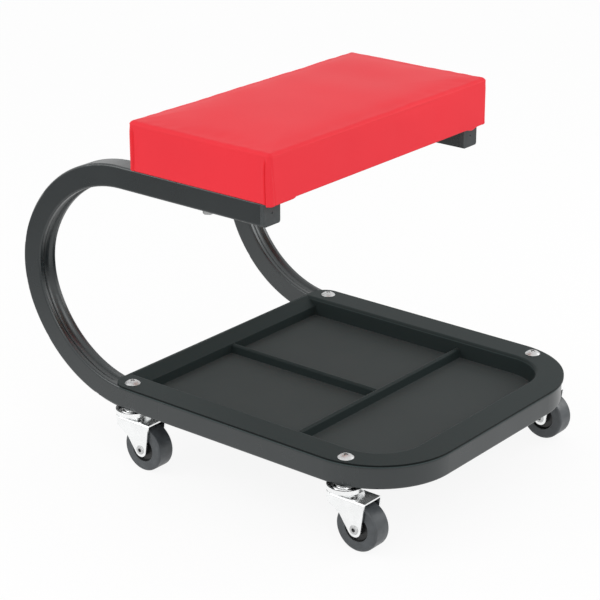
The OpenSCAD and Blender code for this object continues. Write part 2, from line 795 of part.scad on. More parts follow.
base_tube();
loop_tube(-1);  // loop_tube_left
loop_tube(1);  // loop_tube_right
end_cap(-1);  // end_cap_left
end_cap(1);  // end_cap_right
tool_tray();
tray_screws();
lock_nuts();
seat_board();
seat_foam();
seat_cover();
seat_staples();
seat_bolts();
seat_washers();
tee_nuts();
cup(0);  // cup_front_left
cup(1);  // cup_front_right
cup(2);  // cup_back_left
cup(3);  // cup_back_right
kingpin(0);  // kingpin_front_left
kingpin(1);  // kingpin_front_right
kingpin(2);  // kingpin_back_left
kingpin(3);  // kingpin_back_right
balls(0);  // balls_front_left
balls(1);  // balls_front_right
balls(2);  // balls_back_left
balls(3);  // balls_back_right
fork(0);  // fork_front_left
fork(1);  // fork_front_right
fork(2);  // fork_back_left
fork(3);  // fork_back_right
axle(0);  // axle_front_left
axle(1);  // axle_front_right
axle(2);  // axle_back_left
axle(3);  // axle_back_right
sleeve(0);  // sleeve_front_left
sleeve(1);  // sleeve_front_right
sleeve(2);  // sleeve_back_left
sleeve(3);  // sleeve_back_right
wheel(0);  // wheel_front_left
wheel(1);  // wheel_front_right
wheel(2);  // wheel_back_left
wheel(3);  // wheel_back_right
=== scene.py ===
"""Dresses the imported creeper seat: a vinyl pad, its materials, and the stage it stands on."""

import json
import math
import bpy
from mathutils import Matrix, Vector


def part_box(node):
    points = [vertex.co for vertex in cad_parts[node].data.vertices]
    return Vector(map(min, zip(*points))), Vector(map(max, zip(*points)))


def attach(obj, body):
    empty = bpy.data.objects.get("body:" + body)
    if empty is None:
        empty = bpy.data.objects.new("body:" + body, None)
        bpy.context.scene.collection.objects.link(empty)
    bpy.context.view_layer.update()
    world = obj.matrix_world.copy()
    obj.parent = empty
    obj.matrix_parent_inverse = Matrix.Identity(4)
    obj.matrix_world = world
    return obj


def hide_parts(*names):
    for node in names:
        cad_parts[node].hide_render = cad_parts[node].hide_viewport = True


bl_info = {
    "name": "Creeper Seat",
    "version": (1, 0, 0),
    "blender": (4, 5, 0),
    "location": "3D View > Sidebar > Creeper Seat",
    "description": "Makes the pad, the finishes and the stage of a rolling work seat",
    "category": "Object",
}

import bpy
import numpy as np
from bpy.props import FloatProperty, FloatVectorProperty, PointerProperty
from mathutils import Matrix, Vector

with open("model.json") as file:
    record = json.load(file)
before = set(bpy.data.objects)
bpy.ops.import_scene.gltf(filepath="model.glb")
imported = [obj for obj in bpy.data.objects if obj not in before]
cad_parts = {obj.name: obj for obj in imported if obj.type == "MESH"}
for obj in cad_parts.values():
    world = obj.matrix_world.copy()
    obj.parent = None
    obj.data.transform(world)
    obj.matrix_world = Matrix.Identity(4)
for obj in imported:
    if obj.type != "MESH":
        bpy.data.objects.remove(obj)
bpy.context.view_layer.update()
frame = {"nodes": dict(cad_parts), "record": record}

MM = 0.001
ROOT_BODY = "frame"

# The Mix node's sockets by number, because its data types repeat their names: the share, then two colours and their
# mix, or two numbers and theirs
MIX_SHARE, MIX_FIRST, MIX_SECOND, MIX_RESULT = 0, 6, 7, 2
NUMBER_FIRST, NUMBER_SECOND, NUMBER_RESULT = 2, 3, 0
# Most of a noise lies between these values
NOISE_LOW, NOISE_HIGH = 0.3, 0.7

# Tray: its floor over its lowest point, and the heights over that floor at which the grain is full and gone. The
# rim's upright edge, darkened by painted shade, and a painted highlight line along its foot, each with its height and
# how dark or light it is, and how far up a face points where the painted colour begins and is full
TRAY_FLOOR_RISE = 2.5 * MM
GRAIN_FULL, GRAIN_GONE = 0.2 * MM, 0.8 * MM
RIM_EDGE, PAINTED_EDGE_SHADE = 3.1 * MM, 0.25
PAINTED_HIGHLIGHT_LINE, PAINTED_HIGHLIGHT_LIFT = 1.1 * MM, 2.4
UPRIGHT_FROM, UPRIGHT_TO = 0.6, 0.2

# Screws and wheels, whose recesses are darkened by painted shade: the reach of each recess from its axis, how far
# under a screw's top its recess begins, and how dark the painted shade in the one round a hub is
SCREW_HEAD = 17 * MM
CROSS_RECESS = 0.2 * SCREW_HEAD
CROSS_DEPTH = 0.55 * MM
HUB_RECESS, HUB_PAINTED_SHADE = 14.3 * MM, 0.1
FASTENERS = ("tray_screws", "lock_nuts", "seat_bolts", "seat_washers", "tee_nuts", "seat_staples",
             "axle_front_left", "axle_front_right", "axle_back_left", "axle_back_right")

# Pad: the points round each ring, and how they crowd towards the corners
CORNER_STEPS, SIDE_STEPS = 16, 96
CROWDING = 2.2
# Its section: where it closes inside the board, the least radius of a ring's corners, the rounding of the hem's cut
# edge, the flat hem from that edge and from the pad's side, the rounding of the bottom edge, the rows of each
# stretch, the slope at which the crown starts, and the top's rings
CLOSED_AT = 7 * MM
CLOSED_SHARES, INNER_SHARE = (0.3, 0.7, 1.0), 0.3
LEAST_RADIUS = 1.5 * MM
CUT_HEIGHT, CUT_WIDTH = 0.25 * MM, 0.6 * MM
HEM_START, HEM_END = 3 * MM, 4 * MM
HEM_ROLL = 1.6 * MM
HEM_ROWS, ROLL_ROWS, SIDE_ROWS, EDGE_ROWS = 9, 6, 26, 11
CROWN_START = math.radians(3.5)
TOP_SHARES = (0.985, 0.965, 0.94, 0.9, 0.85, 0.79, 0.72, 0.64, 0.55, 0.46, 0.37, 0.28, 0.19, 0.1)
# Its corner folds: the share of each corner, where they fade out towards the top, the line of the crease and its
# bow, and the flap's reach, taper and height, with the widths of its rise and fall
FOLD_SHARES = np.array([0.5, 0.6, 0.7, 1.0])
FOLD_TOP, FOLD_UNDER = 0.82, (0.03, 0.16)
CREASE, CREASE_BOW = -5.2 * MM, 0.8 * MM
FLAP_REACH, FLAP_SHIFT, FLAP_TAPER = 5.6 * MM, 1.2 * MM, 0.9
FLAP_HEIGHT, FLAP_RISE, FLAP_FALL = 0.55, 2.5 * MM, 1.3 * MM
# Each bump of a fold: height as a share of the fold, distance from the line it follows, and width
GROOVE = (-1.25, 0.0, 1.0 * MM)
FOLDED_EDGE = (0.75, 1.9 * MM, 1.1 * MM)
FOOT = (-0.3, 1.7 * MM, 0.9 * MM)
PUFF = (0.35, -2.4 * MM, 1.4 * MM)
# Its waves, each with its radians per metre along x, y and z and a phase. They are 50 to 140 mm long on the sides and
# the top, and 14 to 26 mm along the edge, where their band is given in radii of the edge and shares of the ring
SOFT_WAVES = ((41, 17, 0, 0.7), (-22, 63, 0, 2.1), (78, 0, 90, 4.0))
PUCKER_WAVES = ((233, 61, 0, 1.3), (-95, 287, 0, 0.4), (318, 318, 0, 2.6))
SIDE_WAVE, TOP_WAVE, PUCKER = 0.25 * MM, 0.35 * MM, 0.3 * MM
PUCKER_MIDDLE, PUCKER_WIDTH, PUCKER_SHARES = 0.3, 0.6, (0.8, 0.95)
# The hem hangs in front of the arms: an even drop as far as the left arm reaches, and a bell at the right one. Both
# fade out behind the front side, and up to this share of its height
LEFT_DROP, LEFT_REACH = 1.5 * MM, (37 * MM, 39 * MM)
RIGHT_DROP, RIGHT_MIDDLE, RIGHT_WIDTH = 2.2 * MM, 27 * MM, 6.5 * MM
HANG_REACH = (6 * MM, 9 * MM)
HANG_CLIMB = 0.12

# Cloth simulation of the pad: the remesh, the height held, the pressure and frames of the swelling, its cap, and a
# length that keeps a still point from dividing by zero
SWELL_VOXEL = 6 * MM
SWELL_HELD = 9 * MM
SWELL_PRESSURE = 0.3
SWELL_FRAMES = 20
SWELL_CAP = 1.6 * MM
SWELL_LEAST = 1e-9
# Its motion is carried to the pad with bells of this width, for this many points at once
CARRY_WIDTH = 7 * MM
CARRY_BATCH = 500

# Stage: the floor's glow, and a painted pool of light that shiny pieces see, which dims with the distance from the
# middle
FLOOR_GLOW = 0.9
POOL_NEAR, POOL_FAR, POOL_DIM = 0.35, 1.0, 0.38
# The camera's right, up and back, its place, and its lens and sensor in millimetres
CAMERA_AXES = ((0.6304, -0.7763, -0.0016), (0.2824, 0.2275, 0.9319), (-0.7231, -0.5879, 0.3627))
CAMERA_PLACE = (-1.5631, -1.2575, 0.9459)
CAMERA_LENS, CAMERA_SENSOR = 117.2, 36.0
CAMERA_CLIP = (0.05, 60.0)


def linear(hex_code):
    """Turns an sRGB hex colour into linear red, green, blue and alpha."""
    parts = [int(hex_code[i:i + 2], 16) / 255 for i in (1, 3, 5)]
    return tuple(c / 12.92 if c <= 0.04045 else ((c + 0.055) / 1.055) ** 2.4 for c in parts) + (1.0,)


def per_metre(size_mm):
    """The texture scale, on Object coordinates in metres, that repeats once in this many millimetres."""
    return 1.0 / (size_mm * MM)


# Settings that a user may change


class PadSettings(bpy.types.PropertyGroup):
    """Sizes and colour of the seat pad."""

    vinyl: FloatVectorProperty(name="Vinyl", description="Colour of the vinyl cover", subtype="COLOR",
                               size=4, min=0, max=1, default=linear("#E72F3A"))
    edge_radius: FloatProperty(name="Edge radius", description="Radius where the top turns into the sides",
                               subtype="DISTANCE", unit="LENGTH", default=5 * MM, min=2 * MM, max=20 * MM)
    corner_radius: FloatProperty(name="Corner radius", description="Radius of the four upright corners",
                                 subtype="DISTANCE", unit="LENGTH", default=5 * MM, min=3 * MM, max=20 * MM)
    crown: FloatProperty(name="Crown", description="Rise of the top over its edge",
                         subtype="DISTANCE", unit="LENGTH", default=2 * MM, min=0, max=10 * MM)
    draw: FloatProperty(name="Draw", description="Depth by which the sides pull in between the corners",
                        subtype="DISTANCE", unit="LENGTH", default=1.2 * MM, min=0, max=5 * MM)
    fold: FloatProperty(name="Corner fold", description="Height of the folded vinyl at the corners",
                        subtype="DISTANCE", unit="LENGTH", default=1.3 * MM, min=0, max=4 * MM)
    hem: FloatProperty(name="Hem", description="Width of the hem under the board",
                       subtype="DISTANCE", unit="LENGTH", default=34 * MM, min=10 * MM, max=60 * MM)
    grain: FloatProperty(name="Grain", description="Size of the vinyl's embossed grain",
                         subtype="DISTANCE", unit="LENGTH", default=1.6 * MM, min=0.5 * MM, max=5 * MM)


class FrameSettings(bpy.types.PropertyGroup):
    """Colours of the steel frame and its end caps."""

    coating: FloatVectorProperty(name="Coating", description="Colour of the powder coat", subtype="COLOR",
                                 size=4, min=0, max=1, default=linear("#151B1D"))
    caps: FloatVectorProperty(name="End caps", description="Colour of the end caps", subtype="COLOR",
                              size=4, min=0, max=1, default=linear("#3A3E3F"))


class TraySettings(bpy.types.PropertyGroup):
    """Colour and grain of the tool tray."""

    plastic: FloatVectorProperty(name="Plastic", description="Colour of the tray", subtype="COLOR",
                                 size=4, min=0, max=1, default=linear("#272F2F"))
    floor: FloatVectorProperty(name="Floor", description="Colour of the tray's grained floor", subtype="COLOR",
                               size=4, min=0, max=1, default=linear("#3E4343"))
    grain: FloatProperty(name="Grain", description="Size of the moulded grain",
                         subtype="DISTANCE", unit="LENGTH", default=1.8 * MM, min=0.5 * MM, max=5 * MM)


class CasterSettings(bpy.types.PropertyGroup):
    """Colours of the casters and the fasteners."""

    zinc: FloatVectorProperty(name="Zinc", description="Colour of the zinc plate", subtype="COLOR",
                              size=4, min=0, max=1, default=linear("#FAFBFB"))
    wheel: FloatVectorProperty(name="Wheels", description="Colour of the wheels", subtype="COLOR",
                               size=4, min=0, max=1, default=linear("#43474A"))


class StageSettings(bpy.types.PropertyGroup):
    """Light and floor of the stage."""

    key_power: FloatProperty(name="Key light", description="Power of the large lamp at the front left",
                             subtype="POWER", unit="POWER", default=8.0, min=0, max=500)
    left_power: FloatProperty(name="Left light", description="Power of the lamp at the back left",
                              subtype="POWER", unit="POWER", default=2.4, min=0, max=500)
    right_power: FloatProperty(name="Right light", description="Power of the lamp at the front right",
                               subtype="POWER", unit="POWER", default=3.8, min=0, max=500)
    sky: FloatProperty(name="Sky", description="Strength of the even light from all round",
                       default=0.88, min=0, max=2)
    floor_width: FloatProperty(name="Floor", description="Width of the floor",
                               subtype="DISTANCE", unit="LENGTH", default=12.0, min=2, max=50)


GROUPS = {"seat_pad": PadSettings, "seat_frame": FrameSettings, "seat_tray": TraySettings,
          "seat_casters": CasterSettings, "seat_stage": StageSettings}


# Materials


def add_node(tree, kind, values=(), links=(), **settings):
    """Adds a node, sets its settings and socket values, and links sockets into it."""
    made = tree.nodes.new(kind)
    for name, value in settings.items():
        setattr(made, name, value)
    for key, value in dict(values).items():
        made.inputs[key].default_value = value
    for key, socket in dict(links).items():
        tree.links.new(socket, made.inputs[key])
    return made


def new_material(name, values):
    """Starts a material: its node tree, its shader with these socket values, and Object coordinates."""
    material = bpy.data.materials.new(name)
    material.use_nodes = True
    tree = material.node_tree
    tree.nodes.clear()
    shader = add_node(tree, "ShaderNodeBsdfPrincipled", values)
    add_node(tree, "ShaderNodeOutputMaterial", links={"Surface": shader.outputs["BSDF"]})
    place = add_node(tree, "ShaderNodeTexCoord").outputs["Object"]
    return material, tree, shader, place


def vary_roughness(tree, shader, place, size_mm, low, high, detail=2.0):
    """Drives the shader's roughness by cloudy noise of this size, between two limits."""
    noise = add_node(tree, "ShaderNodeTexNoise", {"Scale": per_metre(size_mm), "Detail": detail}, {"Vector": place})
    spread = add_node(tree, "ShaderNodeMapRange", {"From Min": NOISE_LOW, "From Max": NOISE_HIGH, "To Min": low,
                                                   "To Max": high}, {"Value": noise.outputs["Fac"]})
    tree.links.new(spread.outputs["Result"], shader.inputs["Roughness"])


def tint(tree, shader, place, colour, size_mm, dark, light, detail=3.0):
    """Drives the shader's colour by cloudy noise of this size, between two shades of one colour.

    Returns the colour's socket.
    """
    noise = add_node(tree, "ShaderNodeTexNoise", {"Scale": per_metre(size_mm), "Detail": detail}, {"Vector": place})
    spread = add_node(tree, "ShaderNodeMapRange", {"From Min": NOISE_LOW, "From Max": NOISE_HIGH},
                      {"Value": noise.outputs["Fac"]})
    return blend(tree, shader, spread.outputs["Result"], shade(colour, dark), shade(colour, light))


def blend(tree, shader, share, first, second):
    """Links the shader's colour to a mix of two colours, each a value or a socket, and returns the mix."""
    mix = add_node(tree, "ShaderNodeMix", links={MIX_SHARE: share}, data_type="RGBA")
    for key, colour in ((MIX_FIRST, first), (MIX_SECOND, second)):
        if isinstance(colour, tuple):
            mix.inputs[key].default_value = colour
        else:
            tree.links.new(colour, mix.inputs[key])
    tree.links.new(mix.outputs[MIX_RESULT], shader.inputs["Base Color"])
    return mix.outputs[MIX_RESULT]


def emboss(tree, shader, height, depth_mm, strength, edge_mm=0.0):
    """Bumps the surface by a height pattern, over edges rounded by this radius."""
    links = {"Height": height}
    if edge_mm:
        links["Normal"] = add_node(tree, "ShaderNodeBevel", {"Radius": edge_mm * MM}, samples=4).outputs["Normal"]
    bump = add_node(tree, "ShaderNodeBump", {"Strength": strength, "Distance": depth_mm * MM}, links)
    tree.links.new(bump.outputs["Normal"], shader.inputs["Normal"])


def shade(colour, factor):
    """The same colour, lighter or darker by this factor."""
    return tuple(min(1.0, c * factor) for c in colour[:3]) + (1.0,)


def powder_coat(settings):
    """Black polyester powder coat, sprayed and baked on steel.

    It flows out to a satin film with a faint orange peel about 2 mm across, so highlights have soft edges.
    """
    material, tree, shader, place = new_material("powder_coated_steel_satin_black",
                                                 {"IOR": 1.58, "Specular IOR Level": 0.66,
                                                  "Specular Tint": linear("#FBFFFF")})
    colour = tuple(settings.coating)
    tint(tree, shader, place, colour, size_mm=90, dark=0.9, light=1.12)
    vary_roughness(tree, shader, place, size_mm=35, low=0.26, high=0.34)
    peel = add_node(tree, "ShaderNodeTexNoise", {"Scale": per_metre(2.2), "Detail": 2.0}, {"Vector": place})
    emboss(tree, shader, peel.outputs["Fac"], depth_mm=0.03, strength=0.4, edge_mm=0.8)
    return material


def painted_rim_shade_and_highlight(tree, height, colour):
    """The tray's colour, with painted shade on the upright edge of its rim, over a painted highlight line along the
    edge's foot.
    """
    rim_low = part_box("tool_tray")[1][2] - RIM_EDGE
    upright = add_node(tree, "ShaderNodeSeparateXYZ",
                       links={"Vector": add_node(tree, "ShaderNodeNewGeometry").outputs["Normal"]}).outputs["Z"]
    side = add_node(tree, "ShaderNodeMapRange", {"From Min": UPRIGHT_FROM, "From Max": UPRIGHT_TO},
                    {"Value": upright})
    above = add_node(tree, "ShaderNodeMath", {1: rim_low}, {0: height}, operation="GREATER_THAN")
    both = add_node(tree, "ShaderNodeMath", links={0: side.outputs["Result"], 1: above.outputs[0]},
                    operation="MULTIPLY")
    # Painted shade on the upright edge, and a painted highlight line along its lowest part
    in_highlight_line = add_node(tree, "ShaderNodeMath", {1: rim_low + PAINTED_HIGHLIGHT_LINE}, {0: height}, operation="LESS_THAN")
    edge = add_node(tree, "ShaderNodeMix", {MIX_FIRST: shade(colour, PAINTED_EDGE_SHADE),
                                              MIX_SECOND: shade(colour, PAINTED_HIGHLIGHT_LIFT)},
                    {MIX_SHARE: in_highlight_line.outputs[0]}, data_type="RGBA")
    mix = add_node(tree, "ShaderNodeMix", {MIX_FIRST: colour},
                   {MIX_SHARE: both.outputs[0], MIX_SECOND: edge.outputs[MIX_RESULT]}, data_type="RGBA")
    return mix.outputs[MIX_RESULT]


def moulded_polypropylene(settings):
    """Black polypropylene, injection moulded: a satin rim, and a floor from a spark-eroded part of the tool.

    The floor's fine grain, 0.5 mm in the real tray and drawn coarser so that it shows, scatters the light, so the
    floor looks greyer than the rim and the walls.
    """
    material, tree, shader, place = new_material("moulded_polypropylene_satin_and_grained_black",
                                                 {"IOR": 1.49, "Specular IOR Level": 0.1})
    colour = tuple(settings.plastic)
    floor_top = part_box("tool_tray")[0][2] + TRAY_FLOOR_RISE
    height = add_node(tree, "ShaderNodeSeparateXYZ", links={"Vector": place}).outputs["Z"]
    grained = add_node(tree, "ShaderNodeMapRange", {"From Min": floor_top + GRAIN_GONE,
                                                    "From Max": floor_top + GRAIN_FULL},
                       {"Value": height}, interpolation_type="SMOOTHSTEP").outputs["Result"]
    clouds = add_node(tree, "ShaderNodeTexNoise", {"Scale": per_metre(110), "Detail": 2.0}, {"Vector": place})
    grey = tuple(settings.floor)
    floor_colour = add_node(tree, "ShaderNodeMix", {MIX_FIRST: shade(grey, 0.92), MIX_SECOND: shade(grey, 1.12)},
                            {MIX_SHARE: clouds.outputs["Fac"]}, data_type="RGBA").outputs[MIX_RESULT]
    blend(tree, shader, grained, painted_rim_shade_and_highlight(tree, height, colour), floor_colour)
    rough = add_node(tree, "ShaderNodeMapRange", {"To Min": 0.5, "To Max": 0.7}, {"Value": grained})
    tree.links.new(rough.outputs["Result"], shader.inputs["Roughness"])
    grain = add_node(tree, "ShaderNodeTexNoise", {"Scale": per_metre(settings.grain / MM), "Detail": 4.0},
                     {"Vector": place})
    emboss(tree, shader, grain.outputs["Fac"], depth_mm=0.06, strength=0.5, edge_mm=0.7)
    return material


def moulded_polyethylene(settings):
    """Black polyethylene, injection moulded in a polished tool, so it is smooth and slightly waxy."""
    material, tree, shader, place = new_material("moulded_polyethylene_black", {"IOR": 1.51})
    colour = tuple(settings.caps)
    tint(tree, shader, place, colour, size_mm=12, dark=0.9, light=1.15)
    vary_roughness(tree, shader, place, size_mm=6, low=0.28, high=0.38)
    waves = add_node(tree, "ShaderNodeTexNoise", {"Scale": per_metre(5), "Detail": 1.0}, {"Vector": place})
    emboss(tree, shader, waves.outputs["Fac"], depth_mm=0.06, strength=0.5, edge_mm=1.2)
    return material


def vinyl_leathercloth(settings):
    """Red vinyl leathercloth, calendered and embossed with a fine hide grain.

    Each pebble of the grain is about 1 mm, drawn a little coarser so that it shows, and gives a soft even sheen.
    """
    material, tree, shader, place = new_material("embossed_vinyl_leathercloth_red",
                                                 {"IOR": 1.53, "Specular IOR Level": 0.17})
    colour = tuple(settings.vinyl)
    tint(tree, shader, place, colour, size_mm=120, dark=0.98, light=1.02, detail=1.0)
    vary_roughness(tree, shader, place, size_mm=90, low=0.5, high=0.56, detail=1.0)
    pebble = add_node(tree, "ShaderNodeTexVoronoi", {"Scale": per_metre(settings.grain / MM), "Randomness": 1.0},
                      {"Vector": place}, feature="F1")
    emboss(tree, shader, pebble.outputs["Distance"], depth_mm=0.12, strength=0.35)
    return material


def raw_plywood():
    """Raw softwood plywood: a rotary-cut face whose growth rings run as broad wavy bands along the board."""
    material, tree, shader, place = new_material("raw_plywood_rotary_cut", {"IOR": 1.5, "Roughness": 0.75})
    stretch = add_node(tree, "ShaderNodeMapping", {"Scale": (0.12, 1.0, 1.0)}, {"Vector": place})
    bands = add_node(tree, "ShaderNodeTexWave", {"Scale": per_metre(60), "Distortion": 6.0, "Detail": 3.0,
                                                  "Detail Scale": 1.5},
                     {"Vector": stretch.outputs["Vector"]}, bands_direction="Y")
    ramp = add_node(tree, "ShaderNodeValToRGB", links={"Fac": bands.outputs["Fac"]})
    ramp.color_ramp.elements[0].color = linear("#B08A57")
    ramp.color_ramp.elements[1].color = linear("#D2AE78")
    tree.links.new(ramp.outputs["Color"], shader.inputs["Base Color"])
    emboss(tree, shader, bands.outputs["Fac"], depth_mm=0.15, strength=0.3)
    return material


def screw_recess_shade_mask(tree, place):
    """1 inside the cross recess of the four tray screws, where shade is painted, and 0 elsewhere.

    Folding X and Y about the middle of the screws' pattern brings all four onto one axis. A point is in the recess
    if it is near that axis and below the dome's top.
    """
    low, high = (np.array(corner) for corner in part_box("tray_screws"))
    folded = add_node(tree, "ShaderNodeVectorMath", {1: tuple((low + high) / 2)}, {0: place}, operation="SUBTRACT")
    folded = add_node(tree, "ShaderNodeVectorMath", links={0: folded.outputs[0]}, operation="ABSOLUTE")
    axis = (high - low) / 2 - SCREW_HEAD / 2
    off = add_node(tree, "ShaderNodeVectorMath", {1: (axis[0], axis[1], 0)}, {0: folded.outputs[0]},
                   operation="SUBTRACT")
    flat = add_node(tree, "ShaderNodeVectorMath", {1: (1, 1, 0)}, {0: off.outputs[0]}, operation="MULTIPLY")
    reach = add_node(tree, "ShaderNodeVectorMath", links={0: flat.outputs[0]}, operation="LENGTH")
    near = add_node(tree, "ShaderNodeMath", {1: CROSS_RECESS}, {0: reach.outputs["Value"]}, operation="LESS_THAN")
    height = add_node(tree, "ShaderNodeSeparateXYZ", links={"Vector": place}).outputs["Z"]
    deep = add_node(tree, "ShaderNodeMath", {1: high[2] - CROSS_DEPTH}, {0: height}, operation="LESS_THAN")
    both = add_node(tree, "ShaderNodeMath", links={0: near.outputs[0], 1: deep.outputs[0]}, operation="MULTIPLY")
    return both.outputs[0]


def bright_zinc(settings, name, smoothest, roughest, tone=1.0, shaded_recess=False):
    """Steel, electroplated with zinc and passivated bright.

    The plate is near silver and slightly clouded. Pressed sheet keeps faint drawing lines and stays shiny. Screws
    and nuts are plated in a tumbling barrel, which leaves them duller and greyer.
    """
    material, tree, shader, place = new_material(name, {"Metallic": 1.0})
    colour = shade(tuple(settings.zinc), tone)
    clouded = tint(tree, shader, place, colour, size_mm=14, dark=0.97, light=1.03)
    vary_roughness(tree, shader, place, size_mm=5, low=smoothest, high=roughest)
    # Painted shade: the screws' cross recess is darkened to a dark grey
    if shaded_recess:
        blend(tree, shader, screw_recess_shade_mask(tree, place), clouded, linear("#4A4A48"))
    drawn = add_node(tree, "ShaderNodeTexNoise", {"Scale": per_metre(3), "Detail": 3.0}, {"Vector": place})
    emboss(tree, shader, drawn.outputs["Fac"], depth_mm=0.05, strength=0.2, edge_mm=0.4)
    return material


def hub_shade_mask(tree, place):
    """1 in the recess round the hub of the four wheels, where shade is painted, and 0 elsewhere.

    Folding Y about the middle between the axles brings all four onto one line, and a point is in the recess if it is
    nearer to that line than the recess is wide.
    """
    front, back = (np.mean(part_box(name), axis=0) for name in ("wheel_front_left", "wheel_back_left"))
    middle, spread = (front + back) / 2, (back - front) / 2
    folded = add_node(tree, "ShaderNodeVectorMath", {1: (0, middle[1], middle[2])}, {0: place}, operation="SUBTRACT")
    folded = add_node(tree, "ShaderNodeVectorMath", links={0: folded.outputs[0]}, operation="ABSOLUTE")
    off = add_node(tree, "ShaderNodeVectorMath", {1: (0, spread[1], 0)}, {0: folded.outputs[0]}, operation="SUBTRACT")
    upright = add_node(tree, "ShaderNodeVectorMath", {1: (0, 1, 1)}, {0: off.outputs[0]}, operation="MULTIPLY")
    reach = add_node(tree, "ShaderNodeVectorMath", links={0: upright.outputs[0]}, operation="LENGTH")
    return add_node(tree, "ShaderNodeMath", {1: HUB_RECESS}, {0: reach.outputs["Value"]},
                    operation="LESS_THAN").outputs[0]


def moulded_nylon(settings):
    """Hard black nylon, injection moulded: greyed where it rolls, and darkened by painted shade in the recess round
    the hub.
    """
    material, tree, shader, place = new_material("moulded_nylon_black", {"IOR": 1.53})
    colour = tuple(settings.wheel)
    worn = tint(tree, shader, place, colour, size_mm=9, dark=0.85, light=1.2)
    # Painted shade: the recess round the hub is made nearly black
    blend(tree, shader, hub_shade_mask(tree, place), worn, shade(colour, HUB_PAINTED_SHADE))
    vary_roughness(tree, shader, place, size_mm=7, low=0.36, high=0.5)
    skin = add_node(tree, "ShaderNodeTexNoise", {"Scale": per_metre(1.6), "Detail": 3.0}, {"Vector": place})
    emboss(tree, shader, skin.outputs["Fac"], depth_mm=0.06, strength=0.5, edge_mm=0.4)
    return material


def finish(nodes, material):
    """Puts a material on these CAD nodes."""
    for name in nodes:
        mesh = frame["nodes"][name].data
        mesh.materials.clear()
        mesh.materials.append(material)


def finish_slot(slot, material):
    """Puts a material on every CAD node that the record gives this material slot."""
    finish([part["node"] for part in frame["record"]["subparts"] if part["material_slot"] == slot], material)


# The seat pad


def smooth_step(low, high, x):
    """0 below low, 1 above high, and 3t^2 - 2t^3 of the way t between them."""
    t = np.clip((x - low) / (high - low), 0.0, 1.0)
    return t * t * (3 - 2 * t)


def bell(x, middle, width):
    """1 at the middle, falling off on both sides as exp(-t^2), t in widths."""
    return np.exp(-((x - middle) / width) ** 2)


def perimeter():
    """Shares along the four sides and round the four corners of a ring.

    Returns the side's share from -1 to 1, crowded towards its ends by a hyperbolic tangent, the corner's angle, and
    the quarter that each point belongs to. A point on a side has angle 0, and one in a corner has side share 1.
    """
    line = np.tanh(CROWDING * np.linspace(-1, 1, SIDE_STEPS + 1)) / math.tanh(CROWDING)
    arc = np.linspace(0, math.pi / 2, CORNER_STEPS + 1)[1:-1]
    side = np.concatenate([line, np.ones_like(arc)])
    angle = np.concatenate([np.zeros_like(line), arc])
    return np.tile(side, 4), np.tile(angle, 4), np.repeat(np.arange(4), len(side))


def ring_points(half_x, half_y, radius, side, angle, quarter):
    """Points of a rounded rectangle, by quarter: out to a side, along it by its share, and round the corner arc.

    Also returns each point's outward direction and the distance along the ring from the nearest corner's middle,
    positive after the corner.
    """
    out = np.where(quarter % 2 == 0, half_x, half_y)
    along = np.where(quarter % 2 == 0, half_y, half_x)
    a = out - radius + radius * np.cos(angle)
    b = side * (along - radius) + radius * np.sin(angle)
    turn = quarter * math.pi / 2
    x = a * np.cos(turn) - b * np.sin(turn)
    y = a * np.sin(turn) + b * np.cos(turn)
    normal = np.stack([np.cos(turn + angle), np.sin(turn + angle)], -1)
    straight = along - radius
    eighth = radius * math.pi / 4
    in_corner = angle > 0
    before = side * straight - straight - eighth
    after = side * straight + straight + eighth
    reach = np.where(in_corner, angle * radius - eighth, np.where(side > 0, before, after))
    return x, y, normal, reach


def pad_sections(s, height):
    """The pad's section, from the middle of its underside to the middle of its top.

    Each row is: inset of the ring from the pad's side, height over the hem's face, share of the ring towards the
    middle (1 at the ring), the share of the side's draw, and the share of the corner fold.
    """
    rows = [(s.hem, CLOSED_AT, share, 0, 0) for share in CLOSED_SHARES]
    rows += [(s.hem, CLOSED_AT * INNER_SHARE, 1, 0, 0), (s.hem, CUT_HEIGHT, 1, 0, 0),
             (s.hem - CUT_WIDTH, 0, 1, 0, 0)]
    rows += [(inset, 0, 1, 0, 0) for inset in np.linspace(s.hem - HEM_START, HEM_END, HEM_ROWS)]
    rows += [(HEM_ROLL - HEM_ROLL * math.sin(turn), HEM_ROLL - HEM_ROLL * math.cos(turn), 1, 0, 1)
             for turn in np.linspace(0, math.pi / 2, ROLL_ROWS)]
    side_top = height - s.edge_radius
    rows += [(0, HEM_ROLL + (side_top - HEM_ROLL) * t, 1, math.sin(math.pi * t) ** 2,
              1 - smooth_step(FOLD_TOP, 1.0, t)) for t in np.linspace(0, 1, SIDE_ROWS)[1:]]
    rows += [(s.edge_radius * (1 - math.cos(turn)), side_top + s.edge_radius * math.sin(turn), 1, 0, 0)
             for turn in np.linspace(0, math.pi / 2 - CROWN_START, EDGE_ROWS)[1:]]
    rows += [(s.edge_radius, height + s.crown * (1 - share ** 4), share, 0, 0) for share in TOP_SHARES]
    return np.array(rows, float)


def beside(reach, line, height, away, width):
    """A bell of this height, this far from a line."""
    return height * bell(reach, line + away, width)


def corner_fold(reach, climb, depth):
    """The folded vinyl at a corner, as a height over the side, from the distance round the corner and the climb.

    A deep crease runs up one side. Next to it the folded edge stands up as a roll, and from there a flap falls
    slowly round the corner to a step at its free edge. That edge runs from the top of the corner outwards and down,
    so the flap is a narrow wedge.
    """
    crease = CREASE - CREASE_BOW * np.sin(np.pi * climb)
    edge = FLAP_REACH * (1 - climb) ** FLAP_TAPER - FLAP_SHIFT
    flap = smooth_step(crease, crease + FLAP_RISE, reach) * (1 - smooth_step(edge, edge + FLAP_FALL, reach))
    form = beside(reach, crease, *GROOVE) + beside(reach, crease, *FOLDED_EDGE) + FLAP_HEIGHT * flap
    form = form + beside(reach, edge, *FOOT) + beside(reach, crease, *PUFF)
    return depth * form * smooth_step(*FOLD_UNDER, 1 - climb)


